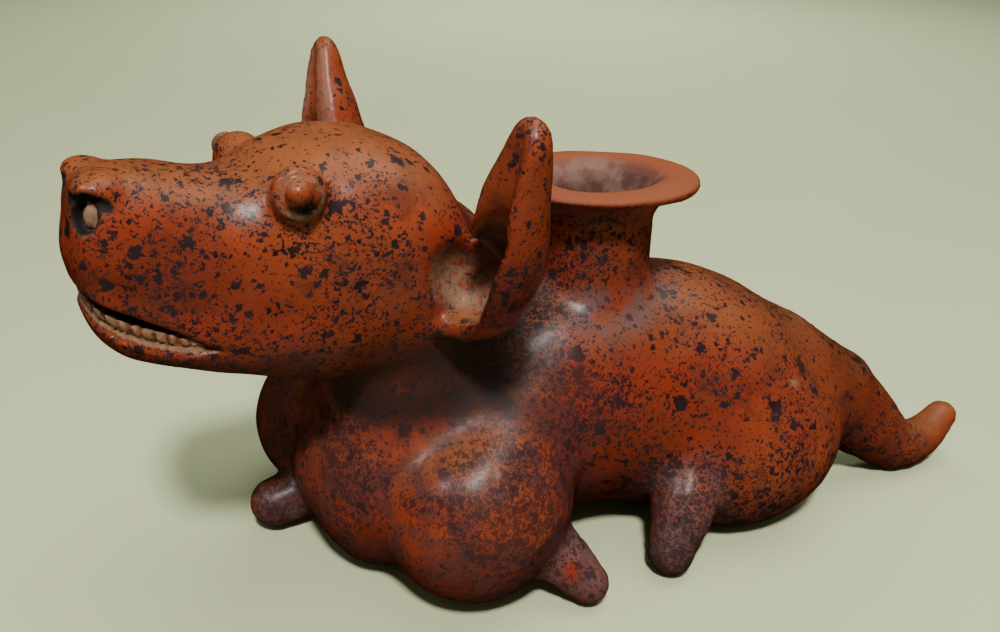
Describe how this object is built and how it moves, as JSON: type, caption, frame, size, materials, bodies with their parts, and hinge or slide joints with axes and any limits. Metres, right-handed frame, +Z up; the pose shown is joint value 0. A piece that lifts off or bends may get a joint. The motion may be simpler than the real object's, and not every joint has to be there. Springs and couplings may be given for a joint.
{
  "type": "colima dog figure",
  "caption": "Hollow red-slipped clay vessel in the form of a reclining dog with its head turned, ears up, bared teeth, and a short flared spout on its back.",
  "frame": {"origin": "middle of the footprint box, on the surface that the dog lies on", "axes": "+X from nose to tail, +Z up, the dog's left side faces -Y"},
  "size_m": [0.411, 0.1658, 0.2057],
  "materials": {
    "slipped_clay": "burnished red slip with blue-black mineral speckles and a soft gloss"
  },
  "bodies": {
    "root": {"colima_dog_vessel": "slipped_clay"}
  },
  "joints": []
}
